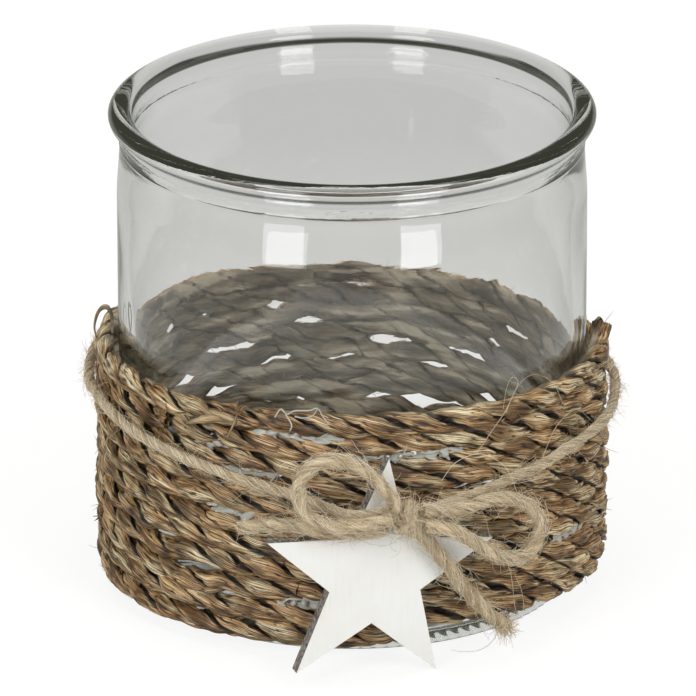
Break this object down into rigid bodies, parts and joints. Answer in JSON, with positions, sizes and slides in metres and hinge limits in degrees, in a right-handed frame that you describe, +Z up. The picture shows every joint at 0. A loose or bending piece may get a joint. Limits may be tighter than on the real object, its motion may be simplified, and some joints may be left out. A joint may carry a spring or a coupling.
{
  "type": "glass candle holder",
  "caption": "Open round glass jar for a candle, its lower half wound in leaf rope, with a jute bow and a white wooden star in front.",
  "frame": {"origin": "on the jar's axis, at the level that the jar stands on", "axes": "+Z up along the jar's axis, -Y towards the front, where the bow and the star are"},
  "size_m": [0.1113, 0.1253, 0.102],
  "materials": {
    "jar_glass": "clear pressed soda-lime glass, fire-polished, with a faint grey tint",
    "leaf_rope": "dried leaf strips twisted into two-strand rope, matt to satin, creased lengthwise",
    "jute_twine": "natural two-ply jute, matt, hairy",
    "painted_plywood": "thin brush coat of matt white on the faces, grey sawn edge",
    "hot_glue": "clear hot-melt glue, cloudy, glossy"
  },
  "bodies": {
    "root": {"glass_jar": "jar_glass", "rope_lower_length": "leaf_rope", "rope_upper_length": "leaf_rope", "twine_band": "jute_twine", "bow_knot": "jute_twine", "bow_left_loop": "jute_twine", "bow_left_tail": "jute_twine", "bow_right_loop": "jute_twine", "bow_right_tail": "jute_twine", "star": "painted_plywood", "star_glue": "hot_glue", "bow_glue": "hot_glue", "glue_bead_1": "hot_glue", "glue_bead_2": "hot_glue", "glue_bead_3": "hot_glue", "glue_bead_4": "hot_glue", "glue_bead_5": "hot_glue", "glue_bead_6": "hot_glue", "glue_bead_7": "hot_glue"}
  },
  "joints": []
}
